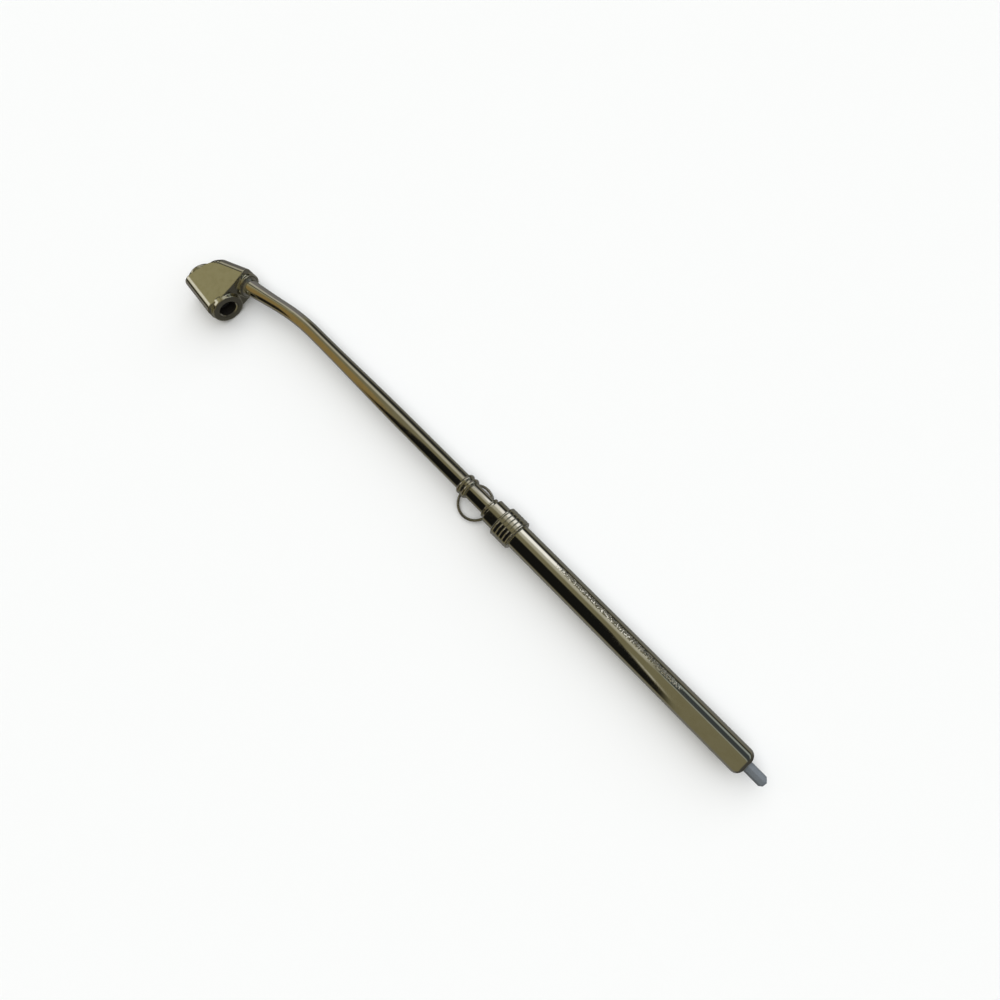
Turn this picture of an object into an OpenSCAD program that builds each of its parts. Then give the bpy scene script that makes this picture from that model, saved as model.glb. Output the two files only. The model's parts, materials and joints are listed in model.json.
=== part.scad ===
// Dual-foot tyre pressure gauge: a two-mouthed air chuck on a bent stem, screwed to a
// piston barrel whose square indicator bar slides out as the pressure rises.
// Millimetres. The barrel and the stem's long leg lie along X, the gauge lies on its side
// with the bend in the XY plane, and the origin is under the middle of its outer box.

/* [Barrel] */
// Outside diameter of the barrel tube
barrel_d = 11.4; // [11:0.1:12]
// Length of barrel seen beyond the coupling nut
barrel_len = 124.1; // [115:0.1:140]
// Wall thickness of the barrel tube
barrel_wall = 0.75; // [0.5:0.05:0.9]
// Radius that the barrel's end is spun over to
barrel_round = 2.8; // [2:0.1:3]

/* [Indicator bar] */
// Side of the square bar
bar_side = 4.4; // [4:0.1:4.6]
// Length of bar that shows at rest
bar_out = 8.9; // [5:0.1:20]
// Turn of the bar's faces about its own axis, in degrees
bar_roll = 17; // [0:1:45]
// Chamfer on one long edge of the tip
bar_chamfer = 1.2; // [0.5:0.1:2]
// Diameter of the round foot that stops the bar from coming out
foot_d = 7; // [6.6:0.1:7.2]

/* [Stem] */
// Outside diameter of the stem tube
tube_d = 7.8; // [7.4:0.1:8]
// Bore of the stem tube
tube_bore = 4.8; // [3:0.1:5.2]
// Distance from the coupling nut to the corner of the bend
long_leg = 137.6; // [110:0.1:160]
// Distance from the corner of the bend to the end of the head's boss
short_leg = 32.7; // [28:0.1:45]
// Angle of the bend, in degrees
bend_angle = 11.3; // [5:0.1:15]
// Radius of the tube's axis round the bend
bend_r = 110; // [60:1:130]

/* [Head] */
// Diameter of the chuck's two round collars
chuck_d = 15; // [14.6:0.1:16]
// Length of the chuck from mouth to mouth
chuck_len = 25; // [24.5:0.1:27]
// Angle between the chuck and the short leg of the stem, in degrees
chuck_angle = 16.3; // [12:0.1:20]
// Thickness across the flat cheeks
cheek_t = 14.6; // [14:0.1:15]
// Radius of the casting round the chuck's bore, before the cheeks are cut flat
body_r = 8.4; // [8:0.1:9]
// Radius along the casting's outer edge, above the stem
edge_r = 4; // [2:0.1:5]
// Bore of each mouth, which passes over a tyre valve
mouth_d = 8.3; // [8:0.05:8.6]
// Depth from a mouth's rim to its washer
mouth_depth = 5.5; // [5:0.1:6]
// Outside diameter of the boss that holds the stem
boss_d = 11.4; // [11.2:0.1:12.4]
// Depth of the socket in the boss
socket_depth = 8.5; // [6:0.5:9]

/* [Coupling] */
// Diameter over the nut's ribs
nut_d = 14.4; // [14:0.1:15]
// Length of the nut
nut_len = 9.7; // [9:0.1:12]
// Number of ribs on the nut
nut_ribs = 4; // [3:1:5]
// Diameter of the ferrule
ferrule_d = 11.7; // [11.2:0.1:12]
// Length of ferrule outside the nut, without its flange
ferrule_len = 5.9; // [4:0.1:6]
// Diameter of the ferrule's thin flange
flange_d = 9.8; // [9:0.1:10.5]

/* [Hanging ring] */
// Distance from the nut to the middle of the bead collar
collar_at = 21.2; // [21:0.1:30]
// Diameter over the collar's two beads
bead_d = 10.1; // [9.8:0.1:10.4]
// Outside diameter of the ring
ring_d = 16.8; // [16:0.1:18]
// Diameter of the ring's wire
wire_d = 1.2; // [1:0.05:1.3]
// Turn of the ring to one side of the stem, in degrees
ring_side = 21; // [0:1:25]

/* [Hidden] */
$fn = 96;

// Gaps between mating surfaces.
snug = 0.01;
running = 0.08;
eps = 0.01;

// Stations along X, from the nut's head-side face.
barrel_start = 5;
barrel_end = nut_len + barrel_len;
bar_tip = barrel_end + bar_out;
inlet_end = 12;
cup_start = 12.6;
piston_start = 14.4;
seat_start = 21;
spring_start = 21.8;
foot_start = 22.4;
foot_len = 2;
guide_len = 5.2;
guide_start = barrel_end - guide_len;
spring_end = guide_start;

// Radii inside the barrel.
bore_r = barrel_d / 2 - barrel_wall;
spring_wire = 0.9;
spring_r = bore_r - 0.35 - spring_wire / 2;
spring_turns = 22;
lip_r = barrel_d / 2 - barrel_round + 0.6;

// The bend, and the boss end that the head is placed from.
bend_tangent = bend_r * tan(bend_angle / 2);
boss_end = [-long_leg - short_leg * cos(bend_angle), -short_leg * sin(bend_angle)];

// Chuck: its middle in the boss's frame, and stations along its own axis.
chuck_mid = [-14.25, -11];
chuck_r = chuck_d / 2;
half_chuck = chuck_len / 2;
rim_chamfer = 0.5;
washer_face = half_chuck - mouth_depth;
washer_t = 2;
chamber_half = washer_face - washer_t;
hub_half = chamber_half - 2.6;
bush_r = mouth_d / 2 + 1.05;

// Flat of the casting in the chuck's frame: its front side, its outer edge from edge_1 to
// edge_2, and its rear side, where the chuck and the boss stand out.
front_corner = [-11.1, -3];
edge_1 = [-5.8, 11.1];
edge_2 = [8.2, 16.6];
rear_corner = [10.2, -3];

// Hanging ring: the wire's circle lies level, just under the stem.
ring_r = (ring_d - wire_d) / 2;
ring_z = -(flange_d / 2 + 0.3 + wire_d / 2);
ear_hole_z = ring_z + 0.25;
ear_at = collar_at + 1.3;

// Outer box of the whole gauge, from which the origin is placed.
tilt = chuck_angle - bend_angle;
function boss_to_tool(p) = [boss_end.x + p.x * cos(bend_angle) - p.y * sin(bend_angle),
                            boss_end.y + p.x * sin(bend_angle) + p.y * cos(bend_angle)];
chuck_centre = boss_to_tool(chuck_mid);
x_low = chuck_centre.x - half_chuck * cos(tilt) - (chuck_r - rim_chamfer) * sin(tilt);
x_high = bar_tip;
y_low = chuck_centre.y - rear_corner.x * sin(tilt) - body_r * cos(tilt);
y_high = nut_d / 2;
origin = [-(x_low + x_high) / 2, -(y_low + y_high) / 2, chuck_r];

// Frames: the barrel's axis, the boss's axis and the chuck's axis, each along X.
module in_tool() { translate(origin) children(); }
module in_boss() { in_tool() translate([boss_end.x, boss_end.y, 0]) rotate(bend_angle) children(); }
module in_chuck() { in_boss() translate([chuck_mid.x, chuck_mid.y, 0]) rotate(-chuck_angle) children(); }

// A round bar along X from x1 to x2.
module rod(x1, x2, r) {
    translate([x1, 0, 0]) rotate([0, 90, 0]) cylinder(h = x2 - x1, r = r);
}

// A round bar along X with a chamfer at either end.
module chamfered_rod(x1, x2, r, c1 = 0, c2 = 0) {
    length = x2 - x1;
    translate([x1, 0, 0]) rotate([0, 90, 0]) rotate_extrude()
        polygon([[0, 0], [r - c1, 0], if (c1 > 0) [r, c1],
                 if (c2 > 0) [r, length - c2], [r - c2, length], [0, length]]);
}

// A round bar along X whose far end is rounded over to a flat face.
module domed_rod(x1, x2, r, round) {
    length = x2 - x1;
    translate([x1, 0, 0]) rotate([0, 90, 0]) rotate_extrude() {
        square([r, length - round]);
        square([r - round, length]);
        translate([r - round, length - round]) intersection() {
            circle(r = round, $fn = 64);
            square(round);
        }
    }
}

// A washer or bush along X.
module ring_x(x1, x2, r, bore, c1 = 0, c2 = 0) {
    difference() {
        chamfered_rod(x1, x2, r, c1, c2);
        rod(x1 - 1, x2 + 1, bore);
    }
}

// ---------------------------------------------------------------- head

// Outside of the casting: a flat-cheeked body round the chuck, its rounded outer edge, the two
// mouth collars, and the boss for the stem.
module head_outside() {
    half_t = cheek_t / 2;
    edge = edge_2 - edge_1;
    front_chamfer = 2.5;
    in_chuck() {
        chamfered_rod(0, half_chuck, chuck_r, 0, rim_chamfer);
        mirror([1, 0, 0]) chamfered_rod(0, half_chuck, chuck_r, 0, rim_chamfer);
        intersection() {
            rod(front_corner.x, rear_corner.x, body_r);
            cube([chuck_len, chuck_len, cheek_t], center = true);
        }
        translate([0, 0, -half_t]) linear_extrude(cheek_t)
            polygon([front_corner, edge_1, edge_2, rear_corner]);
        translate([edge_1.x, edge_1.y, 0]) rotate(atan2(edge.y, edge.x)) {
            for (side = [-1, 1]) translate([0, 0, side * (half_t - edge_r)])
                chamfered_rod(0, norm(edge), edge_r, front_chamfer, 1);
            translate([front_chamfer, -1, edge_r - half_t])
                cube([norm(edge) - front_chamfer - 1, edge_r + 1, cheek_t - 2 * edge_r]);
        }
    }
    in_boss() chamfered_rod(-12, 0, boss_d / 2, 0, 1.2);
}

// Chamber through the chuck, the stem's socket, and the air way that joins them.
module head_casting() {
    color("silver") difference() {
        head_outside();
        in_chuck() {
            rod(chamber_half, half_chuck + 1, bush_r + snug);
            rod(-half_chuck - 1, -chamber_half, bush_r + snug);
            rod(-chamber_half - 1, chamber_half + 1, 3.2);
        }
        in_boss() {
            rod(-socket_depth, 1, tube_d / 2 + snug);
            way = [chuck_mid.x + socket_depth - 1.5, chuck_mid.y];
            translate([1.5 - socket_depth, 0, 0]) rotate([0, 0, atan2(way.y, way.x)])
                rod(0, norm(way), 1.4);
        }
    }
}

// Threaded bush in a mouth, which holds the washer down; side is 1 at the rear, -1 at the front.
module mouth_bush(side) {
    color("gainsboro") in_chuck() mirror([side < 0 ? 1 : 0, 0, 0]) difference() {
        chamfered_rod(washer_face, half_chuck, bush_r, 0, 0.2);
        rod(washer_face - 1, half_chuck + 1, mouth_d / 2);
    }
}
module front_mouth_bush() { mouth_bush(-1); }
module rear_mouth_bush() { mouth_bush(1); }

// Rubber washer that seals on the valve's lip.
module mouth_washer(side) {
    color("dimgray") in_chuck() mirror([side < 0 ? 1 : 0, 0, 0])
        ring_x(chamber_half, washer_face, bush_r, 2);
}
module front_washer() { mouth_washer(-1); }
module rear_washer() { mouth_washer(1); }

// Double-ended pin that opens the valve, with a hub that keeps it in the chamber.
module depressor_spool() {
    tip = washer_face - 0.05;
    color("goldenrod") in_chuck() {
        chamfered_rod(-tip, tip, 1.2, 0.3, 0.3);
        chamfered_rod(-hub_half, hub_half, 2.2, 0.3, 0.3);
    }
}

// Two rubber rings on the spool, one for each washer.
module spool_seals() {
    color("black") in_chuck() for (side = [0, 1])
        mirror([side, 0, 0]) ring_x(hub_half + snug, hub_half + 1.4, 2.7, 1.2 + snug, 0.3, 0.3);
}

// Fillet of solder round the tube at the socket's mouth.
module solder_ring() {
    color("lightgray") in_boss() ring_x(snug, 1, tube_d / 2 + 1, tube_d / 2 + snug, 0.1, 0.8);
}

// ---------------------------------------------------------------- stem

// Brass tube that carries the air to the barrel: a round wall swept along the long leg, the
// bend and the short leg. A station is a place on the axis and the heading there.
module stem_tube() {
    sides = 48;
    bend_steps = 10;
    leg_end = -long_leg + bend_tangent;
    in_socket = socket_depth - 0.02;
    stations = concat(
        [[barrel_start - 1.1, 0, 0]],
        [for (i = [0:bend_steps]) let (a = bend_angle * i / bend_steps)
            [leg_end - bend_r * sin(a), bend_r * (cos(a) - 1), a]],
        [[boss_end.x - in_socket * cos(bend_angle), boss_end.y - in_socket * sin(bend_angle), bend_angle]]);
    last = len(stations) - 1;
    inside = len(stations) * sides;
    function rim(s, r) = [for (j = [0:sides - 1]) let (b = j * 360 / sides)
        [s.x - r * cos(b) * sin(s.z), s.y + r * cos(b) * cos(s.z), r * sin(b)]];
    function next(j) = (j + 1) % sides;
    function quad(a, b, c, d) = [[a, b, c], [a, c, d]];
    outer_points = [for (s = stations) each rim(s, tube_d / 2)];
    inner_points = [for (s = stations) each rim(s, tube_bore / 2)];
    outer_wall = [for (i = [0:last - 1]) for (j = [0:sides - 1]) let (a = i * sides, b = a + sides)
        each quad(a + j, a + next(j), b + next(j), b + j)];
    inner_wall = [for (i = [0:last - 1]) for (j = [0:sides - 1]) let (a = inside + i * sides, b = a + sides)
        each quad(a + j, b + j, b + next(j), a + next(j))];
    far = last * sides;
    ends = [for (j = [0:sides - 1]) each concat(
        quad(next(j), j, inside + j, inside + next(j)),
        quad(far + j, far + next(j), inside + far + next(j), inside + far + j))];
    color("silver") in_tool()
        polyhedron(concat(outer_points, inner_points), concat(outer_wall, inner_wall, ends));
}

// Formed band with two beads and an ear below, free to turn on the tube.
module hanger_collar() {
    band_half = 2.5;
    bead_r = 1.2;
    bead_pitch = 2.8;
    ear_r = 1.35;
    ear = -ear_at + collar_at;
    color("gainsboro") in_tool() translate([-collar_at, 0, 0]) difference() {
        union() {
            rod(-band_half, band_half, tube_d / 2 + 0.6);
            rotate([0, 90, 0]) rotate_extrude() for (side = [-1, 1])
                translate([bead_d / 2 - bead_r, side * bead_pitch / 2]) circle(r = bead_r, $fn = 48);
            translate([ear - ear_r, -0.6, ear_hole_z]) cube([2 * ear_r, 1.2, -ear_hole_z - tube_d / 2]);
            translate([ear, 0.6, ear_hole_z]) rotate([90, 0, 0]) cylinder(h = 1.2, r = ear_r);
        }
        rod(-band_half - 1, band_half + 1, tube_d / 2 + running);
        translate([ear, 2, ear_hole_z]) rotate([90, 0, 0]) cylinder(h = 4, r = wire_d / 2 + 0.4);
    }
}

// Split wire ring that hangs the gauge up.
module hanging_ring() {
    color("silver") in_tool() translate([-ear_at, 0, ring_z]) rotate(-ring_side)
        translate([ring_r, 0, 0]) difference() {
            rotate_extrude() translate([ring_r, 0]) circle(d = wire_d, $fn = 32);
            rotate(2 * ring_side) translate([ring_r - 2, -0.15, -2]) cube([4, 0.3, 4]);
        }
}

// ---------------------------------------------------------------- coupling

// Ferrule soldered on the tube: thin flange, groove, barrel and threaded nose.
module tube_ferrule() {
    groove = 1.3;
    flange_t = 0.8;
    nose_r = 4.9;
    color("gainsboro") in_tool() difference() {
        union() {
            chamfered_rod(-ferrule_len, 0, ferrule_d / 2, 0.4, 0);
            rod(-ferrule_len - groove, 0, 4.4);
            chamfered_rod(-ferrule_len - groove - flange_t, -ferrule_len - groove, flange_d / 2, 0.2, 0.2);
            rod(-1, barrel_start - 1.1, nose_r);
        }
        rod(-20, 20, tube_d / 2 + snug);
    }
}

// Ribbed nut that draws the ferrule and the barrel together.
module coupling_nut() {
    rim = 0.8;
    chamfer = 0.5;
    groove_share = 0.3;
    groove_depth = 0.18;
    pitch = (nut_len - 2 * rim) / (nut_ribs + groove_share);
    groove_w = pitch * groove_share;
    color("silver") in_tool() difference() {
        chamfered_rod(0, nut_len, nut_d / 2, chamfer, chamfer);
        for (i = [0:nut_ribs]) translate([rim + i * pitch, 0, 0])
            ring_x(0, groove_w, nut_d, nut_d / 2 - groove_depth);
        rod(-1, barrel_start - 1, 4.9 + snug);
        rod(barrel_start - 1 - eps, nut_len + 1, barrel_d / 2 + snug);
    }
}

// Fibre washer pinched between the ferrule's nose and the barrel.
module joint_gasket() {
    color("saddlebrown") in_tool() ring_x(barrel_start - 0.99, barrel_start - snug, 5.6, 2.4);
}

// ---------------------------------------------------------------- barrel

// Seamless barrel tube, spun over at the bar's end.
module barrel_tube() {
    color("silver") in_tool() difference() {
        domed_rod(barrel_start, barrel_end, barrel_d / 2, barrel_round);
        domed_rod(barrel_start - 1, barrel_end - barrel_wall, bore_r, barrel_round - barrel_wall);
        rod(guide_start, barrel_end + 1, lip_r + snug);
    }
}

// Bush at the inlet: lets the air in through a small hole and stops the piston's return.
module inlet_bush() {
    color("goldenrod") in_tool() ring_x(barrel_start, inlet_end, bore_r - snug, 0.9, 0, 0.3);
}

// Piston, with a spigot for the cup and a recess for the bar's foot.
module piston_body() {
    color("goldenrod") in_tool() difference() {
        union() {
            chamfered_rod(piston_start, seat_start, bore_r - 0.15, 0.2, 0.2);
            rod(cup_start + 0.7, piston_start + 1, 2.2);
            rod(seat_start - 1, foot_start, 2.9);
        }
        rod(cup_start - 1, piston_start + 3, 0.95);
    }
}

// Rubber cup that seals the piston in the barrel.
module piston_cup() {
    color("black") in_tool() difference() {
        chamfered_rod(cup_start, piston_start - snug, bore_r - 0.05, 0.1, 0.1);
        rod(cup_start - 1, piston_start + 1, 2.2 + snug);
        rod(cup_start - 1, cup_start + 0.7, 3.6);
    }
}

// Screw that clamps the cup on the piston.
module cup_screw() {
    color("lightgray") in_tool() difference() {
        union() {
            chamfered_rod(cup_start + 0.1, cup_start + 0.69, 1.8, 0.2, 0);
            rod(cup_start + 0.6, piston_start + 2.8, 0.94);
        }
        translate([cup_start + 0.1, 0, 0]) cube([0.5, 4, 0.4], center = true);
    }
}

// Thin washer between the piston and the spring.
module spring_seat() {
    color("lightgray") in_tool() ring_x(seat_start + snug, spring_start - snug, bore_r - 0.2, 2.9 + snug);
}

// Compression spring with closed ends: a wire swept along a helix.
module main_spring() {
    sides = 6;
    steps = 14;
    rings = spring_turns * steps;
    first = spring_start + spring_wire / 2 + 0.02;
    last = spring_end - spring_wire / 2 - 0.02;
    closed = spring_wire + 0.05;
    pitch = (last - first - 2 * closed) / (spring_turns - 2);
    function along(turn) = turn < 1 ? first + turn * closed
                         : turn > spring_turns - 1 ? last - (spring_turns - turn) * closed
                         : first + closed + (turn - 1) * pitch;
    function wire_point(i, j) = let (a = i * 360 / steps, b = j * 360 / sides,
        r = spring_r + spring_wire / 2 * cos(b))
        [along(i / steps) + spring_wire / 2 * sin(b), r * cos(a), r * sin(a)];
    points = [for (i = [0:rings]) for (j = [0:sides - 1]) wire_point(i, j)];
    walls = [for (i = [0:rings - 1]) for (j = [0:sides - 1])
        let (p = i * sides + j, q = i * sides + (j + 1) % sides)
        each [[p, q, p + sides], [q, q + sides, p + sides]]];
    caps = [[for (j = [sides - 1:-1:0]) j], [for (j = [0:sides - 1]) rings * sides + j]];
    color("dimgray") in_tool() polyhedron(points, concat(walls, caps));
}

// Plug pressed into the barrel's end, with the square hole that guides the bar.
module end_guide() {
    hole = bar_side + 2 * running;
    color("gainsboro") in_tool() difference() {
        union() {
            domed_rod(guide_start, barrel_end - barrel_wall - snug, bore_r - snug,
                      barrel_round - barrel_wall);
            chamfered_rod(barrel_end - 1, barrel_end - 0.05, lip_r, 0, 0.1);
        }
        rotate([bar_roll, 0, 0]) translate([guide_start - 1, -hole / 2, -hole / 2])
            cube([guide_len + 3, hole, hole]);
        rod(guide_start + 1.5, guide_start + 3.5, 4.2);
    }
}

// Rubber ring in the guide that keeps the bar where the pressure left it.
module bar_grip_ring() {
    hole = bar_side + 2 * 0.03;
    color("black") in_tool() difference() {
        rod(guide_start + 1.55, guide_start + 3.45, 4.2 - snug);
        rotate([bar_roll, 0, 0]) translate([guide_start, -hole / 2, -hole / 2])
            cube([guide_len, hole, hole]);
    }
}

// Square bar with a round foot inside the spring and a chamfered tip.
module indicator_bar() {
    start = foot_start + 0.02;
    color("slategray") in_tool() rotate([bar_roll, 0, 0]) {
        chamfered_rod(start, start + foot_len, foot_d / 2, 0.2, 0.3);
        difference() {
            translate([start + 1, -bar_side / 2, -bar_side / 2])
                cube([bar_tip - start - 1, bar_side, bar_side]);
            translate([bar_tip, -bar_side / 2, 0]) rotate(45)
                cube([bar_chamfer * sqrt(2), bar_chamfer * sqrt(2), bar_side + 2], center = true);
        }
    }
}

head_casting();
front_mouth_bush();
rear_mouth_bush();
front_washer();
rear_washer();
depressor_spool();
spool_seals();
solder_ring();
stem_tube();
hanger_collar();
hanging_ring();
tube_ferrule();
coupling_nut();
joint_gasket();
inlet_bush();
barrel_tube();
piston_body();
piston_cup();
cup_screw();
spring_seat();
main_spring();
end_guide();
bar_grip_ring();
indicator_bar();
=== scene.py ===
"""Dual-foot tyre pressure gauge: a plated two-mouthed chuck on a bent stem, a hanging ring, a ribbed
coupling nut, and a piston barrel with a square indicator bar, lying on a pale table."""
import bpy
import json
from math import atan2, cos, degrees, pi, radians, sin, tan
from mathutils import Matrix, Vector


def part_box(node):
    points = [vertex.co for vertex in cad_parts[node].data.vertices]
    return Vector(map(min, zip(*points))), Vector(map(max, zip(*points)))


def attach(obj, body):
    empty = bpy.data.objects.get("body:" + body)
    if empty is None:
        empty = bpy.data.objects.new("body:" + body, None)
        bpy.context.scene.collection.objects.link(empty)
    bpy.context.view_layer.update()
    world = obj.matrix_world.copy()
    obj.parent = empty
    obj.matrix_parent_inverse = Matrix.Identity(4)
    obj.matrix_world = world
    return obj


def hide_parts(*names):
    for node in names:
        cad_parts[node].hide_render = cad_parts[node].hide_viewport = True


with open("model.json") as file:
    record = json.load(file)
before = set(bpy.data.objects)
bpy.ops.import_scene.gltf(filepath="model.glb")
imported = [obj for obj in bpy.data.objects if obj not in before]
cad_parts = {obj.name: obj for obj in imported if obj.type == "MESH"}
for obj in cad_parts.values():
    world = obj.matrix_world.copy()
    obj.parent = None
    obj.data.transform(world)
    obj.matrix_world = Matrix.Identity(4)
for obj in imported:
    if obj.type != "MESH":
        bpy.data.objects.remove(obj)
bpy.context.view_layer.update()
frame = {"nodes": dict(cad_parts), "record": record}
MM = 0.001


# ------------------------------------------------------------------ camera
# The gauge is looked down on from above the nut, with the barrel running away to the lower right.
# Everything is measured from the middle of the nut's head-side face, on the barrel's own axis.
nut_low, nut_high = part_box("coupling_nut")
hub = Vector((nut_low.x, (nut_low.y + nut_high.y) / 2, (nut_low.z + nut_high.z) / 2))
EYE = Vector((66.3, 5.9, 291.0)) * MM
LOOK = Vector((-0.2436, -0.0009, -0.9699)).normalized()
RIGHT = Vector((0.689, 0.704, -0.173))
LENS = 25.4

right = (RIGHT - LOOK * RIGHT.dot(LOOK)).normalized()
up = right.cross(LOOK)
camera_data = bpy.data.cameras.new("camera")
camera_data.lens = LENS
camera_data.clip_start = 0.01
camera = bpy.data.objects.new("camera", camera_data)
bpy.context.scene.collection.objects.link(camera)
camera.matrix_world = Matrix.Translation(hub + EYE) @ Matrix((right, up, -LOOK)).transposed().to_4x4()
bpy.context.scene.camera = camera


# ------------------------------------------------------------------ room and light
# A dark room with a warm wall, a long window and someone standing over the table, which is all
# that bright plating shows. A broad soft sun lights the table top and the matt pieces.
class Value:
    """An output socket with arithmetic: an expression on it adds the Math nodes."""

    def __init__(self, tree, socket):
        self.tree = tree
        self.socket = socket

    def math(self, operation, *inputs):
        return self.tree.node("ShaderNodeMath", {"operation": operation}, *inputs)

    def __add__(self, other):
        return self.math("ADD", self, other)

    def __sub__(self, other):
        return self.math("SUBTRACT", self, other)

    def __rsub__(self, other):
        return self.math("SUBTRACT", other, self)

    def __mul__(self, other):
        return self.math("MULTIPLY", self, other)

    def __truediv__(self, other):
        return self.math("DIVIDE", self, other)

    __radd__ = __add__
    __rmul__ = __mul__


class Finish:
    """The node tree of a material or a world, and the one way in which nodes are added to it."""

    def __init__(self, owner):
        owner.use_nodes = True
        self.owner = owner
        self.tree = owner.node_tree
        self.tree.nodes.clear()

    def node(self, kind, settings, *inputs, out=0, **named):
        made = self.tree.nodes.new(kind)
        for setting, value in settings.items():
            setattr(made, setting, value)
        for key, value in [*enumerate(inputs), *named.items()]:
            socket = made.inputs[key if isinstance(key, int) else key.replace("_", " ")]
            if isinstance(value, Value):
                self.tree.links.new(value.socket, socket)
            elif value is not None:
                socket.default_value = value
        return Value(self, made.outputs[out]) if made.outputs else made

    def rise(self, value, start, end, low=0, high=1, slope="SMOOTHSTEP"):
        """A step from low to high, smooth unless slope says otherwise, as value goes from start to end."""
        return self.node("ShaderNodeMapRange", {"interpolation_type": slope}, value, start, end, low, high)

    def band(self, value, low, high, soft):
        """1 between low and high, with soft sides."""
        return self.rise(value, low - soft, low + soft) * (1 - self.rise(value, high - soft, high + soft))

    def mix(self, factor, first, second):
        """From one colour to another."""
        made = self.tree.nodes.new("ShaderNodeMix")
        made.data_type = "RGBA"
        for index, value in ((0, factor), (6, first), (7, second)):
            if isinstance(value, Value):
                self.tree.links.new(value.socket, made.inputs[index])
            elif index:
                made.inputs[index].default_value = (*value, 1)
            else:
                made.inputs[index].default_value = value
        return Value(self, made.outputs[2])


# A direction in the room is told by how far it points along the gauge, and by its turn about the
# gauge in degrees: 0 is straight up, and +90 is level on the far side of the table.
WALL = (0.22, 0.20, 0.118)
LAMPLIT = (0.31, 0.22, 0.082)
FAR_WALL = (0.38, 0.35, 0.205)
PERSON = (0.009, 0.009, 0.008)
CORNER = (0.025, 0.026, 0.026)
DAYLIGHT = (0.56, 0.545, 0.46)
WINDOW = (1.30, 1.30, 1.28)
DOORWAY = (0.055, 0.065, 0.07)
GLAZING = (0.36, 0.40, 0.38)
SHELVES = (0.235, 0.225, 0.23)
LAMP = (1.0, 0.98, 0.90)
TABLE = (0.20, 0.198, 0.185)
ENDS = (0.07, 0.068, 0.06)

world = bpy.data.worlds.new("room")
bpy.context.scene.world = world
room = Finish(world)
facing = room.node("ShaderNodeTexCoord", {}, out="Generated")
split = room.node("ShaderNodeSeparateXYZ", {}, facing).socket.node
along, across, height = (Value(room, socket) for socket in split.outputs)
turn = across.math("ARCTAN2", across, height) * degrees(1)

colour = room.mix(room.band(along, -0.62, -0.44, 0.03) * room.rise(turn, -5, -25), WALL, LAMPLIT)
colour = room.mix(room.rise(along, -0.57, -0.63), colour, FAR_WALL)
outline = (-10 - 400 * room.rise(along, 0.0, 0.2, 0, 0.2, "LINEAR")
           - 600 * room.rise(along, -0.37, -0.53, 0, 0.2, "LINEAR"))
person = room.band(turn - outline, -200, 0, 5) * room.rise(turn, -112, -100)
colour = room.mix(person * room.band(along, -0.48, 0.13, 0.02), colour, PERSON)
rim_light = room.band(turn - outline, 6, 16, 5) * room.band(along, 0.06, 0.12, 0.02)
colour = room.mix(rim_light, colour, DAYLIGHT)
head_gap = room.band(turn, -84, -56, 5) * room.rise(along, -0.56, -0.60)
far_gap = room.band(turn, 60, 104, 8) * room.rise(along, -0.66, -0.56)
colour = room.mix(head_gap, room.mix(far_gap, colour, CORNER), CORNER)
at_head = room.rise(along, -0.615, -0.645)
colour = room.mix(at_head * room.rise(turn, 6, 12), colour, CORNER)
colour = room.mix(at_head * (room.rise(turn, 24, 34) + room.rise(turn, -84, -92)), colour, SHELVES)
colour = room.mix(at_head * room.band(turn, -50, -16, 6), colour, LAMP)
skylight = room.band(turn, 24, 55, 9) * room.rise(along, 0.10, 0.06)
colour = room.mix(skylight, colour, DAYLIGHT)
window = room.band(turn, 48, 76, 7) * room.band(along, -0.27, 0.04, 0.03)
colour = room.mix(window, colour, WINDOW)
doorway = room.band(turn, 36, 68, 3) * room.rise(along, 0.08, 0.11)
glazing = (room.band(turn, 28, 33, 2) + room.band(turn, 71, 88, 4)) * room.rise(along, 0.08, 0.12)
colour = room.mix(glazing, room.mix(doorway, colour, DOORWAY), GLAZING)
below = 1 - room.band(turn, -118, 112, 7)
colour = room.mix(below, colour, TABLE)
ends = (room.rise(along, 0.65, 0.85) + room.rise(along, -0.80, -0.92)
        + below * room.rise(along, 0.35, 0.6))
colour = room.mix(ends, colour, ENDS)
room.node("ShaderNodeOutputWorld", {}, room.node("ShaderNodeBackground", {}, colour, 1.0))

bpy.ops.object.light_add(type="SUN", rotation=(radians(-24), radians(8), 0))
sun = bpy.context.active_object
sun.data.color = (0.96, 0.98, 1.0)
sun.data.energy = 3.0
sun.data.angle = radians(110)
sun.visible_glossy = False

bpy.ops.mesh.primitive_plane_add(size=12, location=(0, 0, -0.0002))
floor = bpy.context.active_object
floor.name = "table_top"
floor.visible_glossy = False
table_top = Finish(bpy.data.materials.new("pale_table"))
table_top.node("ShaderNodeOutputMaterial", {},
               table_top.node("ShaderNodeBsdfDiffuse", {}, (0.9, 0.905, 0.93, 1)))
floor.data.materials.append(table_top.owner)
bpy.context.scene.view_settings.view_transform = "Standard"


# ------------------------------------------------------------------ head casting
# One zinc casting, bright plated: flat cheeks round the cross bore, a collar at either mouth,
# rounded edges and a boss for the stem. Its parts are blended as they are in the mould, and the
# bores are machined afterwards.
mounts = {mount["name"]: mount for mount in frame["record"]["mounts"]}
chuck_axis = Vector(mounts["rear_mouth"]["axis"])
chuck_centre = (Vector(mounts["rear_mouth"]["pos_m"]) + Vector(mounts["front_mouth"]["pos_m"])) / 2
chuck_side = Vector((-chuck_axis.y, chuck_axis.x, 0))
UP = Vector((0, 0, 1))

LONG_LEG = 137.6
SHORT_LEG = 32.7
BEND = radians(11.3)
stem_axis = Vector((cos(BEND), sin(BEND), 0))
boss_end = hub - Vector((LONG_LEG, 0, 0)) * MM - stem_axis * SHORT_LEG * MM

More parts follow.
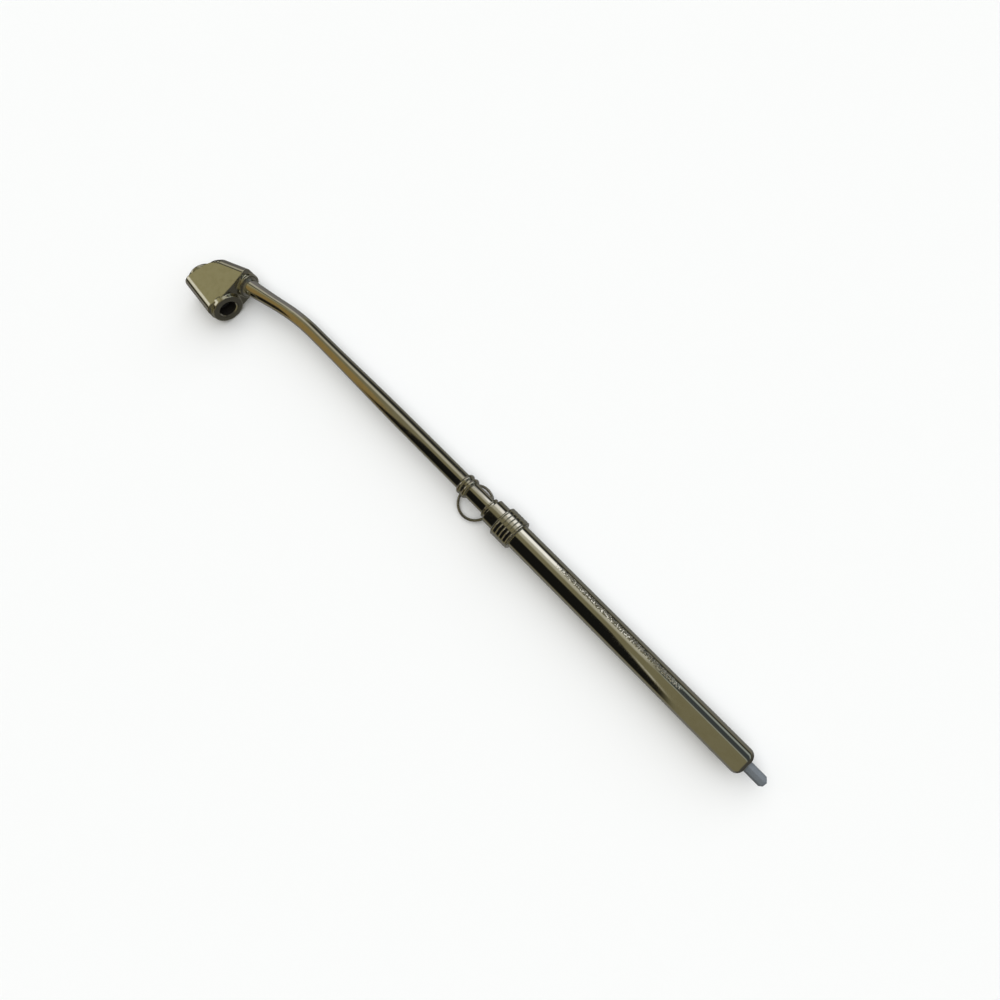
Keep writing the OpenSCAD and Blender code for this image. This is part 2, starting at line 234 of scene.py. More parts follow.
# Stations are along the chuck from its middle, and heights are from the chuck's axis.
CHUCK_R = 7.5
HALF_CHUCK = 12.5
FRONT_RIM = 1.0
FRONT_COLLAR_END = -10.6
REAR_COLLAR_START = 9.6
CORE_HALF = 11.0
HALF_CHEEK = 7.3
UNDER_FLAT = 0.05
BOSS_R = 5.7
BOSS_LEN = 7.5
BUSH_R = 5.21
BORE_REACH = 14
CHAMBER_HALF = 5.0
CHAMBER_R = 3.2
SOCKET_R = 3.91
SOCKET_DEPTH = 8.5

# The flat of a cheek, as (along, across) corners, and the rounds that run off from it.
EDGE_R = 4.0
LOW_EDGE_R = 4.2
LOW_SIDE = -8.4
BULGE_R = 6.0
FLAT_LOW = -3.9
FRONT_CORNER = (-10.9, FLAT_LOW)
EDGE_START = (-4.3, 10.6)
EDGE_END = (8.2, 16.6)
REAR_CORNER = (10.2, FLAT_LOW)
CHEEK_FLAT = (FRONT_CORNER, (-9.5, 5.0), (-8.2, 8.2), EDGE_START, EDGE_END, (9.6, 10.5), (10.5, 3.9),
              REAR_CORNER)
SHOULDER_ROUNDS = ((*EDGE_START, EDGE_R), (-5.5, 10.1, 3.1), (-6.6, 9.4, 2.2), (-7.4, 8.6, 1.4))

GRAIN = 0.2


def in_chuck(along, across, high=0.0):
    """A place in the chuck's own frame, in millimetres."""
    return chuck_centre + (chuck_axis * along + chuck_side * across + UP * high) * MM


def alone(piece):
    """Makes a piece the only one selected, and the active one."""
    bpy.ops.object.select_all(action="DESELECT")
    piece.select_set(True)
    bpy.context.view_layer.objects.active = piece


def settle(piece):
    """Puts a piece's place, turn and size into its mesh."""
    alone(piece)
    bpy.ops.object.transform_apply(location=True, rotation=True, scale=True)


def modify(piece, kind, **settings):
    """Adds a modifier and applies it."""
    alone(piece)
    bpy.ops.object.modifier_add(type=kind)
    modifier = piece.modifiers[-1]
    for setting, value in settings.items():
        setattr(modifier, setting, value)
    bpy.ops.object.modifier_apply(modifier=modifier.name)


def cut(piece, *cutters, operation="DIFFERENCE"):
    """Takes each cutter's shape out of the piece, or adds it, and throws the cutter away."""
    for cutter in cutters:
        modify(piece, "BOOLEAN", object=cutter, operation=operation, solver="EXACT")
        bpy.data.objects.remove(cutter)


def join(piece, *others):
    """Puts other objects' shells into the piece's mesh."""
    alone(piece)
    for other in others:
        other.select_set(True)
    bpy.ops.object.join()


def soften(piece, angle=35):
    alone(piece)
    bpy.ops.object.shade_smooth_by_angle(angle=radians(angle))


def rod(start, end, radius, sides=96):
    """A round bar from one point to another."""
    bpy.ops.object.select_all(action="DESELECT")
    way = end - start
    bpy.ops.mesh.primitive_cylinder_add(vertices=sides, radius=radius * MM, depth=way.length,
                                        location=(start + end) / 2,
                                        rotation=way.to_track_quat("Z", "Y").to_euler())
    made = bpy.context.active_object
    settle(made)
    return made


def traced(name, points):
    """A new mesh that is a line through the points, left in edit mode with all of it selected."""
    bpy.ops.object.select_all(action="DESELECT")
    bpy.ops.mesh.primitive_plane_add(size=MM, location=points[0])
    made = bpy.context.active_object
    made.name = name
    made.data.name = name
    settle(made)
    bpy.ops.object.mode_set(mode="EDIT")
    bpy.ops.mesh.select_all(action="SELECT")
    bpy.ops.mesh.merge(type="CENTER")
    for here, there in zip(points, points[1:]):
        bpy.ops.mesh.extrude_region_move(TRANSFORM_OT_translate={"value": there - here})
    bpy.ops.mesh.select_all(action="SELECT")
    return made


def close_up():
    """In edit mode: merges what meets, turns every face outwards and goes back to object mode."""
    bpy.ops.mesh.select_all(action="SELECT")
    bpy.ops.mesh.remove_doubles(threshold=0.002 * MM)
    bpy.ops.mesh.normals_make_consistent(inside=False)
    bpy.ops.object.mode_set(mode="OBJECT")


def turned(name, profile, origin=hub, axis=Vector((1, 0, 0)), steps=96):
    """Spins an outline of (station, radius) pairs in millimetres about an axis in the XY plane."""
    made = traced(name, [origin + (axis * station + UP * radius) * MM for station, radius in profile])
    bpy.ops.mesh.spin(steps=steps, angle=2 * pi, center=origin, axis=axis)
    close_up()
    return made


def slab(name, outline, low, high):
    """A flat outline drawn up from one height to another."""
    made = traced(name, [place + UP * low * MM for place in outline])
    bpy.ops.mesh.edge_face_add()
    bpy.ops.mesh.extrude_region_move(TRANSFORM_OT_translate={"value": UP * (high - low) * MM})
    close_up()
    return made


casting = slab("head_casting_plated", [in_chuck(*corner) for corner in CHEEK_FLAT], -HALF_CHEEK, HALF_CHEEK)
front_collar = turned("front_collar", [
    (-HALF_CHUCK, 0), (-HALF_CHUCK, CHUCK_R - FRONT_RIM), (FRONT_RIM - HALF_CHUCK, CHUCK_R),
    (FRONT_COLLAR_END, CHUCK_R), (FRONT_COLLAR_END, 0)], chuck_centre, chuck_axis)
rear_collar = rod(in_chuck(REAR_COLLAR_START, 0), in_chuck(HALF_CHUCK, 0), CHUCK_R)
core = rod(in_chuck(-CORE_HALF, 0), in_chuck(CORE_HALF, 0), HALF_CHEEK - UNDER_FLAT)
bulge = rod(in_chuck(FRONT_CORNER[0], BULGE_R + LOW_SIDE), in_chuck(REAR_CORNER[0], BULGE_R + LOW_SIDE),
            BULGE_R)
boss = rod(boss_end - stem_axis * BOSS_LEN * MM, boss_end, BOSS_R)
rounds = []
for start, end, radius in ((EDGE_START, EDGE_END, EDGE_R), (REAR_CORNER, FRONT_CORNER, LOW_EDGE_R)):
    start, end = Vector(start), Vector(end)
    high = HALF_CHEEK - radius
    way = (end - start).normalized()
    out = Vector((-way.y, way.x)) * radius
    side_wall = [in_chuck(*corner) for corner in (start, start + out, end + out, end)]
    rounds.append(slab("side_wall", side_wall, -high, high))
    for side in (-1, 1):
        rounds.append(rod(in_chuck(*start, side * high), in_chuck(*end, side * high), radius, 64))
for station, aside, radius in SHOULDER_ROUNDS:
    high = HALF_CHEEK - radius
    rounds.append(rod(in_chuck(station, aside, -high), in_chuck(station, aside, high), radius))
    for side in (-1, 1):
        bpy.ops.object.select_all(action="DESELECT")
        bpy.ops.mesh.primitive_uv_sphere_add(segments=64, ring_count=32, radius=radius * MM,
                                             location=in_chuck(station, aside, side * high))
        rounds.append(bpy.context.active_object)
        settle(rounds[-1])
join(casting, front_collar, rear_collar, core, bulge, boss, *rounds)
modify(casting, "REMESH", mode="VOXEL", voxel_size=GRAIN * MM)
modify(casting, "SMOOTH", factor=0.5, iterations=7)
bore = turned("bore", [
    (-BORE_REACH, 0), (-BORE_REACH, BUSH_R), (-CHAMBER_HALF, BUSH_R), (-CHAMBER_HALF, CHAMBER_R),
    (CHAMBER_HALF, CHAMBER_R), (CHAMBER_HALF, BUSH_R), (BORE_REACH, BUSH_R), (BORE_REACH, 0)],
    chuck_centre, chuck_axis)
socket_bore = rod(boss_end - stem_axis * SOCKET_DEPTH * MM, boss_end + stem_axis * MM, SOCKET_R)
cut(casting, bore, socket_bore)
soften(casting)


def plating(name, colour, roughness, streak=(1, 1, 1), streaks=0.05, cloud=0.05, ripple=0.0, worn=None):
    """Bright plating: its dullness varies with polishing streaks and handling marks, and its
    colour with a thin stain. streak draws the polishing marks out across an axis. Where worn, a
    function of the finish and the place, comes near 1 the plating is pitted."""
    ripple_size, pit_size = 4.0 * MM, 0.8 * MM
    clouds_per_mm = 0.35
    finish = Finish(bpy.data.materials.new(name))
    place = finish.node("ShaderNodeTexCoord", {}, out="Object")
    pressed = finish.node("ShaderNodeVectorMath", {"operation": "MULTIPLY"}, place, streak)
    lines = finish.node("ShaderNodeTexNoise", {}, Vector=pressed, Scale=1 / MM, Detail=4.0, Roughness=0.7)
    marks = finish.node("ShaderNodeTexNoise", {}, Vector=place, Scale=clouds_per_mm / MM, Detail=3.0,
                        Roughness=0.55)
    dull = roughness + finish.rise(lines, 0.45, 0.75) * streaks + finish.rise(marks, 0.5, 0.75) * cloud
    stain = finish.rise(marks, 0.35, 0.7) * 0.35
    tint = finish.mix(stain, colour, tuple(part * shade for part, shade in zip(colour, (0.9, 0.87, 0.78))))
    inputs = {"Base_Color": tint, "Metallic": 1.0, "Roughness": dull}
    if ripple:
        waves = finish.node("ShaderNodeTexNoise", {}, Vector=place, Scale=1 / ripple_size,
                            Detail=2.0, Roughness=0.5)
        inputs["Normal"] = finish.node("ShaderNodeBump", {}, Strength=ripple, Distance=0.2 * MM,
                                       Height=waves)
    if worn:
        pits = finish.node("ShaderNodeTexNoise", {}, Vector=place, Scale=1 / pit_size, Detail=2.0,
                           Roughness=0.6)
        depth = worn(finish, place) * finish.rise(pits, 0.42, 0.68)
        inputs["Roughness"] = dull + depth * 0.10
        inputs["Normal"] = finish.node("ShaderNodeBump", {}, Strength=1.0, Distance=0.3 * MM,
                                       Height=depth)
    shader = finish.node("ShaderNodeBsdfPrincipled", {}, **inputs)
    finish.node("ShaderNodeOutputMaterial", {}, shader)
    return finish.owner


def dress(piece, material):
    """Gives a piece one material all over."""
    piece.data.materials.clear()
    piece.data.materials.append(material)


plated_casting = plating("plated_casting", (0.60, 0.585, 0.50), 0.10, ripple=0.12, cloud=0.07)
dress(casting, plated_casting)
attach(casting, "gauge")
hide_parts("head_casting")


# ------------------------------------------------------------------ mouth bushes
# A threaded ring in each mouth holds its washer down. It is turned from brass and nickelled, with
# a lead-in at the rim and a few turns of thread inside, which grip a valve.
MOUTH_R = 4.15
WASHER_FACE = 7.0
THREAD_PITCH = 0.8
THREAD_DEPTH = 0.18

thread = []
station = HALF_CHUCK - 1.0
while station > WASHER_FACE + THREAD_PITCH:
    thread += [(station, MOUTH_R), (station - THREAD_PITCH / 2, MOUTH_R + THREAD_DEPTH)]
    station -= THREAD_PITCH
bush_profile = [(WASHER_FACE, BUSH_R - 0.01), (HALF_CHUCK - 0.25, BUSH_R - 0.01),
                (HALF_CHUCK - 0.1, BUSH_R - 0.15), (HALF_CHUCK - 0.1, MOUTH_R + 0.45),
                (HALF_CHUCK - 0.5, MOUTH_R), *thread, (WASHER_FACE, MOUTH_R),
                (WASHER_FACE, BUSH_R - 0.01)]
bright_nickel = plating("bright_nickel", (0.58, 0.56, 0.50), 0.12)


def matt(name, colour, roughness, grain=0.0, grain_size=0.3, metallic=0.0):
    """A dull finish, whose colour and dullness vary a little."""
    finish = Finish(bpy.data.materials.new(name))
    place = finish.node("ShaderNodeTexCoord", {}, out="Object")
    noise = finish.node("ShaderNodeTexNoise", {}, Vector=place, Scale=1 / (grain_size * MM), Detail=3.0)
    dark = tuple(part * 0.75 for part in colour)
    tint = finish.mix(finish.rise(noise, 0.3, 0.7), colour, dark)
    inputs = {"Base_Color": tint, "Metallic": metallic, "Roughness": roughness + noise * 0.12}
    if grain:
        inputs["Normal"] = finish.node("ShaderNodeBump", {}, Strength=grain, Distance=0.05 * MM,
                                       Height=noise)
    finish.node("ShaderNodeOutputMaterial", {},
                finish.node("ShaderNodeBsdfPrincipled", {}, **inputs))
    return finish.owner


# The thread faces inside each mouth get a near-black finish: painted shade, standing in for the darkness
# deep in the bore.
thread_painted_shade = matt("thread_painted_shade", (0.035, 0.032, 0.028), 0.5, metallic=0.6)
for name, way in (("rear_mouth_bush", 1), ("front_mouth_bush", -1)):
    bush = turned(name + "_threaded", bush_profile, chuck_centre, chuck_axis * way)
    soften(bush)
    dress(bush, bright_nickel)
    bush.data.materials.append(thread_painted_shade)
    # Faces near the mouth's axis, short of the rim, take the painted-shade finish.
    for face in bush.data.polygons:
        out = (face.center - chuck_centre) / MM
        off_axis = (out - chuck_axis * out.dot(chuck_axis)).length
        if off_axis < MOUTH_R + 0.3 and abs(out.dot(chuck_axis)) < HALF_CHUCK - 0.5:
            face.material_index = 1
    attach(bush, "gauge")
    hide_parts(name)


# ------------------------------------------------------------------ washers, spool and seals
# Black nitrile washers seal on the valve, and a turned brass spool between them opens its pin.
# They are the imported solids, finished where they lie.
def finish_solids(material, *names):
    """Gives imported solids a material."""
    for name in names:
        for holder in frame["nodes"][name].material_slots:
            holder.link = "OBJECT"
            holder.material = material


seal_rubber = matt("seal_rubber", (0.03, 0.03, 0.03), 0.55, 0.3)
turned_brass = matt("turned_brass", (0.72, 0.56, 0.30), 0.2, metallic=1.0)
finish_solids(seal_rubber, "front_washer", "rear_washer", "spool_seals", "piston_cup", "bar_grip_ring")
finish_solids(turned_brass, "depressor_spool", "inlet_bush", "piston_body")


# ------------------------------------------------------------------ stem tube
# Drawn brass tube, plated after it was bent round a former by hand, so that it is a little flatter
# through the bend than in the straight. It is soldered into the head at one end and the ferrule
# at the other.
TUBE_R = 3.9
TUBE_WALL = 1.5
BEND_R = 110.0
TUBE_START = 3.9
FLATTER = 0.17
LONG_REACH = 66.0
SHORT_REACH = 26.0

bend_tangent = BEND_R * tan(BEND / 2)
leg_end = hub - Vector((LONG_LEG - bend_tangent, 0, 0)) * MM
tube_start = hub + Vector((TUBE_START, 0, 0)) * MM
bend_centre = leg_end - Vector((0, BEND_R, 0)) * MM


def squeeze(centre, heading, ratio):
    """Narrows the selected ring of the tube within the plane of the bend."""
    side = Vector((-heading.y, heading.x, 0))
    bpy.ops.transform.resize(value=(1, ratio, 1), orient_type="GLOBAL", orient_matrix_type="GLOBAL",
                             orient_matrix=(heading, side, UP), center_override=centre)


def flatness(distance, reach):
    """The width that is left at a distance from the bend, in millimetres."""
    return 1 - FLATTER * (0.5 + 0.5 * cos(pi * min(distance / reach, 1)))


bpy.ops.object.select_all(action="DESELECT")
bpy.ops.mesh.primitive_circle_add(vertices=64, radius=TUBE_R * MM, location=tube_start,
                                  rotation=(0, radians(90), 0))
tube = bpy.context.active_object
tube.name = "stem_tube_bent"
settle(tube)
bpy.ops.object.mode_set(mode="EDIT")
bpy.ops.mesh.select_all(action="SELECT")
narrowing = leg_end + Vector((LONG_REACH, 0, 0)) * MM
bpy.ops.mesh.extrude_region_move(TRANSFORM_OT_translate={"value": narrowing - tube_start})
LEG_STEPS = 20
for step in range(LEG_STEPS):
    here, there = (LONG_REACH * (1 - (step + back) / LEG_STEPS) for back in (0, 1))
    bpy.ops.mesh.extrude_region_move(TRANSFORM_OT_translate={"value": (leg_end - narrowing) / LEG_STEPS})
    squeeze(leg_end + Vector((there, 0, 0)) * MM, Vector((1, 0, 0)),
            flatness(there, LONG_REACH) / flatness(here, LONG_REACH))
bpy.ops.mesh.spin(steps=12, angle=BEND, center=bend_centre, axis=-UP)
short_start = boss_end + stem_axis * (SHORT_LEG - bend_tangent) * MM
last_leg = SHORT_LEG - bend_tangent + SOCKET_DEPTH - 0.1
SHORT_STEPS = 12
for step in range(SHORT_STEPS):
    here, there = (last_leg * (step + on) / SHORT_STEPS for on in (0, 1))
    bpy.ops.mesh.extrude_region_move(
        TRANSFORM_OT_translate={"value": -stem_axis * last_leg / SHORT_STEPS * MM})
    squeeze(short_start - stem_axis * there * MM, stem_axis,
            flatness(there, SHORT_REACH) / flatness(here, SHORT_REACH))
close_up()
modify(tube, "SOLIDIFY", thickness=TUBE_WALL * MM, offset=-1)
soften(tube)

plated_tube = plating("chrome_tube", (0.62, 0.605, 0.55), 0.07, streak=(1, 12, 12), streaks=0.06)
dress(tube, plated_tube)
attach(tube, "gauge")
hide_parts("stem_tube")


# ------------------------------------------------------------------ solder fillet
# Soft solder run round the tube at the boss, which draws up into a hollow fillet.
fillet = turned("solder_fillet", [(0.01, SOCKET_R), (1.0, SOCKET_R), (0.9, 4.0), (0.55, 4.2), (0.3, 4.5),
                                  (0.08, 4.88), (0.01, 4.88), (0.01, SOCKET_R)], boss_end, stem_axis)
soften(fillet)
soft_solder = matt("solder", (0.55, 0.54, 0.50), 0.28, 0.2, 0.8, metallic=1.0)
dress(fillet, soft_solder)
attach(fillet, "gauge")
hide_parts("solder_ring")


# ------------------------------------------------------------------ ferrule
# Turned and nickelled brass, soldered on the stem: a thin flange, a groove, and a plain barrel
# whose nose the nut draws against the gasket.
FERRULE_R = 5.85
FERRULE_LEN = 5.9
GROOVE = 1.3
GROOVE_R = 4.4
FLANGE_T = 0.8
FLANGE_R = 4.9
NOSE_R = 4.89
NOSE_END = 3.9

flange_end = -FERRULE_LEN - GROOVE - FLANGE_T
ferrule = turned("tube_ferrule_turned", [
    (NOSE_END, SOCKET_R), (flange_end, SOCKET_R), (flange_end, FLANGE_R), (flange_end + FLANGE_T, FLANGE_R),
    (flange_end + FLANGE_T, GROOVE_R), (-FERRULE_LEN, GROOVE_R), (-FERRULE_LEN, FERRULE_R),
    (-0.01, FERRULE_R), (-0.01, NOSE_R), (NOSE_END, NOSE_R), (NOSE_END, SOCKET_R)])
modify(ferrule, "BEVEL", width=0.22 * MM, segments=3, limit_method="ANGLE", angle_limit=radians(40))
soften(ferrule)
modify(ferrule, "WEIGHTED_NORMAL", keep_sharp=True)
dress(ferrule, bright_nickel)
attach(ferrule, "gauge")
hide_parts("tube_ferrule")


# ------------------------------------------------------------------ coupling nut
# Turned brass sleeve, plated, with fine grooves rolled round it between two plain rims. Its thread
# pulls the barrel and the ferrule together.
NUT_R = 7.2
NUT_LEN = 9.7
RIM = 0.8
RIBS = 4
GROOVE_SHARE = 0.3
GROOVE_DEPTH = 0.18
GROOVE_FLOOR = (0.4, 0.6)
NUT_CHAMFER = 0.4
NUT_FRONT_BORE = 4.91
BARREL_R = 5.7
BARREL_SEAT = 4.0

pitch = (NUT_LEN - 2 * RIM) / (RIBS + GROOVE_SHARE)
ribbing = []
for groove in range(RIBS + 1):
    left = RIM + groove * pitch
    width = pitch * GROOVE_SHARE
    ribbing += [(left, NUT_R), (left + width * GROOVE_FLOOR[0], NUT_R - GROOVE_DEPTH),
                (left + width * GROOVE_FLOOR[1], NUT_R - GROOVE_DEPTH), (left + width, NUT_R)]
nut = turned("coupling_nut_ribbed", [
    (0.01, NUT_FRONT_BORE), (0.01, NUT_R - NUT_CHAMFER), (NUT_CHAMFER, NUT_R), *ribbing,
    (NUT_LEN - NUT_CHAMFER, NUT_R), (NUT_LEN, NUT_R - NUT_CHAMFER), (NUT_LEN, BARREL_R + 0.02),
    (BARREL_SEAT, BARREL_R + 0.02), (BARREL_SEAT, NUT_FRONT_BORE), (0.01, NUT_FRONT_BORE)])
modify(nut, "BEVEL", width=0.08 * MM, segments=2, limit_method="ANGLE", angle_limit=radians(25))
soften(nut)
modify(nut, "WEIGHTED_NORMAL", keep_sharp=True)
plated_nut = plating("chrome_nut", (0.60, 0.585, 0.53), 0.10, streak=(14, 1, 1), streaks=0.08)
dress(nut, plated_nut)
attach(nut, "gauge")
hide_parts("coupling_nut")


# ------------------------------------------------------------------ hanger collar
# A brass strip rolled round the stem with two beads, which leave it free to turn, and a pressed
# ear below them for the ring.
COLLAR_AT = 21.2
BAND_HALF = 2.5
BAND_R = 4.5
BEAD_OUT = 5.05
BEAD_R = 1.2
BEAD_PITCH = 2.8
COLLAR_BORE = 3.98
EAR_BACK = 1.3
EAR_R = 1.35
EAR_T = 1.2
EAR_HOLE_R = 1.0
EAR_ROOT = -4.1
RING_HIGH = -5.8
EAR_HIGH = RING_HIGH + 0.25

collar_centre = hub - Vector((COLLAR_AT, 0, 0)) * MM
beads = []
for middle in (BEAD_PITCH / 2, -BEAD_PITCH / 2):
    reach = BEAD_OUT - BEAD_R
    meet = degrees(atan2(BAND_R - reach, (BEAD_R ** 2 - (BAND_R - reach) ** 2) ** 0.5))
    turns = [radians(meet + (180 - 2 * meet) * step / 14) for step in range(15)]
    beads += [(middle + BEAD_R * cos(turn_by), reach + BEAD_R * sin(turn_by)) for turn_by in turns]
beads = [pair for pair in beads if abs(pair[0]) <= BAND_HALF]
collar = turned("hanger_collar_beaded", [(BAND_HALF, COLLAR_BORE), (BAND_HALF, BAND_R), *beads,
                                         (-BAND_HALF, BAND_R), (-BAND_HALF, COLLAR_BORE),
                                         (BAND_HALF, COLLAR_BORE)], collar_centre)
ear_turns = [radians(180 + 180 * step / 12) for step in range(13)]
ear_outline = [(-EAR_R, EAR_ROOT), *[(EAR_R * cos(by), EAR_HIGH + EAR_R * sin(by)) for by in ear_turns],
               (EAR_R, EAR_ROOT)]
ear_place = collar_centre - Vector((EAR_BACK, EAR_T / 2, 0)) * MM
ear = traced("ear", [ear_place + Vector((along_x, 0, high)) * MM for along_x, high in ear_outline])
bpy.ops.mesh.edge_face_add()
bpy.ops.mesh.extrude_region_move(TRANSFORM_OT_translate={"value": (0, EAR_T * MM, 0)})
close_up()
ear_hole = rod(ear_place + Vector((0, -1, EAR_HIGH)) * MM, ear_place + Vector((0, 3, EAR_HIGH)) * MM,
               EAR_HOLE_R, 48)
cut(ear, ear_hole)
cut(collar, ear, operation="UNION")
soften(collar)
dress(collar, bright_nickel)
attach(collar, "collar")
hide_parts("hanger_collar")


# ------------------------------------------------------------------ hanging ring
# Spring wire bent into a ring and sprung through the ear, with its two cut ends nearly touching.
WIRE_R = 0.6
RING_R = 7.8
RING_TURN = radians(-21)
GAP_TURN = 1.2

ear_middle = collar_centre + Vector((-EAR_BACK, 0, RING_HIGH)) * MM
ring_out = Vector((cos(RING_TURN), sin(RING_TURN), 0))
ring_centre = ear_middle + ring_out * RING_R * MM
gap_way = Matrix.Rotation(-RING_TURN * 2 + radians(GAP_TURN), 4, "Z") @ ring_out
gap_face = ring_centre + gap_way * RING_R * MM
bpy.ops.object.select_all(action="DESELECT")
bpy.ops.mesh.primitive_circle_add(vertices=20, radius=WIRE_R * MM, location=gap_face,
                                  rotation=(UP.cross(gap_way)).to_track_quat("Z", "Y").to_euler())
ring = bpy.context.active_object
ring.name = "hanging_ring_wire"
settle(ring)
bpy.ops.object.mode_set(mode="EDIT")
bpy.ops.mesh.select_all(action="SELECT")
bpy.ops.mesh.edge_face_add()
bpy.ops.mesh.spin(steps=120, angle=radians(360 - 2 * GAP_TURN), center=ring_centre, axis=-UP)
close_up()
modify(ring, "BEVEL", width=0.15 * MM, segments=2, limit_method="ANGLE", angle_limit=radians(60))
soften(ring)
ring_wire = plating("ring_wire", (0.40, 0.39, 0.37), 0.22, streaks=0.1)
dress(ring, ring_wire)
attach(ring, "ring")
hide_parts("hanging_ring")


# ------------------------------------------------------------------ gasket
# A red fibre washer, pinched between the ferrule's nose and the barrel inside the nut.
fibre_gasket = matt("fibre_gasket", (0.40, 0.16, 0.08), 0.7, 0.3)
finish_solids(fibre_gasket, "joint_gasket")


# ------------------------------------------------------------------ barrel
# Seamless brass tube, plated and spun over at the open end. Years of handling have worn and
# pitted its upper side.
BARREL_WALL = 0.75
BARREL_START = 5.0
BARREL_END = 133.8
ROLL_R = 2.8
GUIDE_LEN = 5.2
LIP_R = 3.51
ROLL_STEPS = 14


def rolled_end(end, roll, back=False):
    """The spun-over corner, from the barrel's side in to the lip, or from the lip back out."""
    turns = [radians(90 * step / ROLL_STEPS) for step in range(ROLL_STEPS + 1)]
    inner = BARREL_R - ROLL_R
    corner = [(end - roll + roll * sin(by), inner + roll * cos(by)) for by in turns]
    corner = [pair for pair in corner if pair[1] > LIP_R] + [(end - roll * 0.02, LIP_R)]
    return corner[::-1] if back else corner


barrel = turned("barrel_tube_spun", [
    (BARREL_START, BARREL_R - BARREL_WALL), (BARREL_START, BARREL_R), (NUT_LEN + 40, BARREL_R),
    *rolled_end(BARREL_END, ROLL_R),
    *rolled_end(BARREL_END - BARREL_WALL, ROLL_R - BARREL_WALL, back=True),
    (BARREL_START, BARREL_R - BARREL_WALL)], steps=128)
soften(barrel)

WORN_FROM, WORN_TO = 36, 92
WORN_MIDDLE, WORN_HALF = 34, 9


def handled(finish, place):
    """1 on the strip of the barrel that the fingers rub, which faces up and a little to the far side."""
    axes = finish.node("ShaderNodeSeparateXYZ", {}, place).socket.node
    x, y, z = (Value(finish, socket) for socket in axes.outputs)
    tilt = y.math("ARCTAN2", y - hub.y, z - hub.z) * degrees(1)
    reach = (x - hub.x) * (1 / MM)
    return (finish.band(reach, WORN_FROM, WORN_TO, 8)
            * finish.band(tilt, WORN_MIDDLE - WORN_HALF, WORN_MIDDLE + WORN_HALF, 4))


chrome_barrel = plating("chrome_barrel", (0.64, 0.625, 0.56), 0.06, streak=(1, 14, 14), streaks=0.05,
                        worn=handled)
dress(barrel, chrome_barrel)
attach(barrel, "gauge")
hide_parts("barrel_tube")


# ------------------------------------------------------------------ end guide
# A nickelled plug, pressed into the barrel's end, with the square hole that steers the bar.
finish_solids(bright_nickel, "end_guide")


# ------------------------------------------------------------------ piston's steel parts
# Zinc-plated screw and washer on the brass piston, and the oiled spring that it works against.
small_steel = matt("small_steel", (0.50, 0.50, 0.50), 0.3, metallic=1.0)
spring_steel = matt("spring_steel", (0.30, 0.30, 0.31), 0.32, metallic=1.0)
finish_solids(small_steel, "cup_screw", "spring_seat")
finish_solids(spring_steel, "main_spring")


# ------------------------------------------------------------------ indicator bar
# Square bar of grey nylon, a little turned about its own length, with a round foot inside the
# spring. A scale is printed on its wide upper face, and comes out of the barrel figure by figure.
BAR_SIDE = 4.4
BAR_TURN = radians(17)
BAR_START = 22.42
FOOT_LEN = 2.0
FOOT_R = 3.5
TIP_CHAMFER = 1.2

bar_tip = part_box("indicator_bar")[1].x
bar_start = hub.x + BAR_START * MM
bar_low = bar_start + MM
bar_up = Matrix.Rotation(BAR_TURN, 3, "X") @ UP
bar_side = Matrix.Rotation(BAR_TURN, 3, "X") @ Vector((0, 1, 0))
bpy.ops.object.select_all(action="DESELECT")
bpy.ops.mesh.primitive_cube_add(size=1, location=((bar_low + bar_tip) / 2, hub.y, hub.z),
                                rotation=(BAR_TURN, 0, 0),
                                scale=(bar_tip - bar_low, BAR_SIDE * MM, BAR_SIDE * MM))
bar = bpy.context.active_object
bar.name = "indicator_bar_square"
settle(bar)
for edge in bar.data.edges:
    ends = [bar.data.vertices[index].co for index in edge.vertices]
    edge.select = all(end.x > bar_tip - 0.1 * MM and (end - hub).dot(bar_side) < 0 for end in ends)
bpy.ops.object.mode_set(mode="EDIT")
bpy.ops.mesh.select_mode(type="EDGE")
bpy.ops.mesh.bevel(offset=TIP_CHAMFER * MM, segments=1)
bpy.ops.mesh.select_mode(type="VERT")
bpy.ops.object.mode_set(mode="OBJECT")
modify(bar, "BEVEL", width=0.14 * MM, segments=3, limit_method="ANGLE", angle_limit=radians(30))
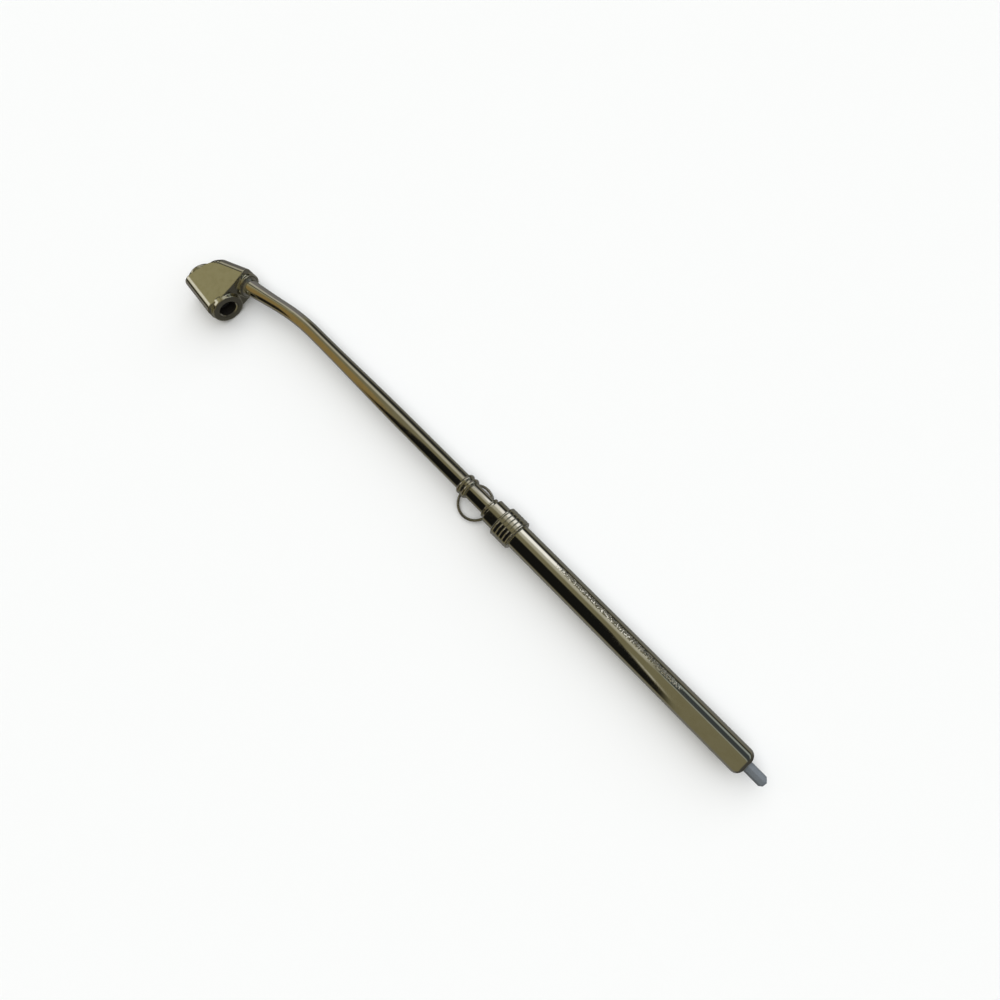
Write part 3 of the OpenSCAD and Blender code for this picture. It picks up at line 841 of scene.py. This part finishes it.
foot = turned("foot", [(BAR_START, 0), (BAR_START, FOOT_R - 0.2), (BAR_START + 0.2, FOOT_R),
                       (BAR_START + FOOT_LEN - 0.3, FOOT_R), (BAR_START + FOOT_LEN, FOOT_R - 0.3),
                       (BAR_START + FOOT_LEN, 0)])
cut(bar, foot, operation="UNION")
soften(bar)

SCALE_FIRST = 8.0
SCALE_STEP = 5.6
SCALE_COUNT = 15
FIGURE_H = 2.0
TICK_W = 0.22
TICK_LONG = 1.5
TICK_SHORT = 0.8

figures = []
face = hub + bar_up * (BAR_SIDE / 2 + 0.01) * MM
for count in range(SCALE_COUNT):
    station = bar_tip - hub.x - (SCALE_FIRST + SCALE_STEP * (count + 1)) * MM
    bpy.ops.object.select_all(action="DESELECT")
    bpy.ops.object.text_add()
    figure = bpy.context.active_object
    figure.data.body = str(10 * (count + 1))
    figure.data.size = FIGURE_H * MM
    figure.data.extrude = 0.01 * MM
    figure.data.align_x = "CENTER"
    figure.data.align_y = "CENTER"
    figure.matrix_world = (Matrix.Translation(face + Vector((station, 0, 0)) + bar_side * -0.7 * MM)
                           @ Matrix.Rotation(BAR_TURN, 4, "X") @ Matrix.Rotation(pi, 4, "Z"))
    alone(figure)
    bpy.ops.object.convert(target="MESH")
    settle(figure)
    figures.append(figure)
    for part in range(5):
        tick_len = TICK_LONG if part == 0 else TICK_SHORT
        bpy.ops.object.select_all(action="DESELECT")
        bpy.ops.mesh.primitive_cube_add(
            size=1, rotation=(BAR_TURN, 0, 0), scale=(TICK_W * MM, tick_len * MM, 0.02 * MM),
            location=(face + Vector((station - part * SCALE_STEP / 5 * MM, 0, 0))
                      + bar_side * (BAR_SIDE / 2 - 0.25 - tick_len / 2) * MM))
        tick = bpy.context.active_object
        settle(tick)
        figures.append(tick)
scale_print = figures[0]
join(scale_print, *figures[1:])
scale_print.name = "bar_scale_print"
scale_print.data.name = "bar_scale_print"

bar_matte = matt("bar_matte", (0.16, 0.18, 0.205), 0.5, 0.25, 0.25)
scale_ink = matt("scale_ink", (0.02, 0.02, 0.025), 0.6)
for piece, material in ((bar, bar_matte), (scale_print, scale_ink)):
    dress(piece, material)
    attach(piece, "bar")
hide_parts("indicator_bar")
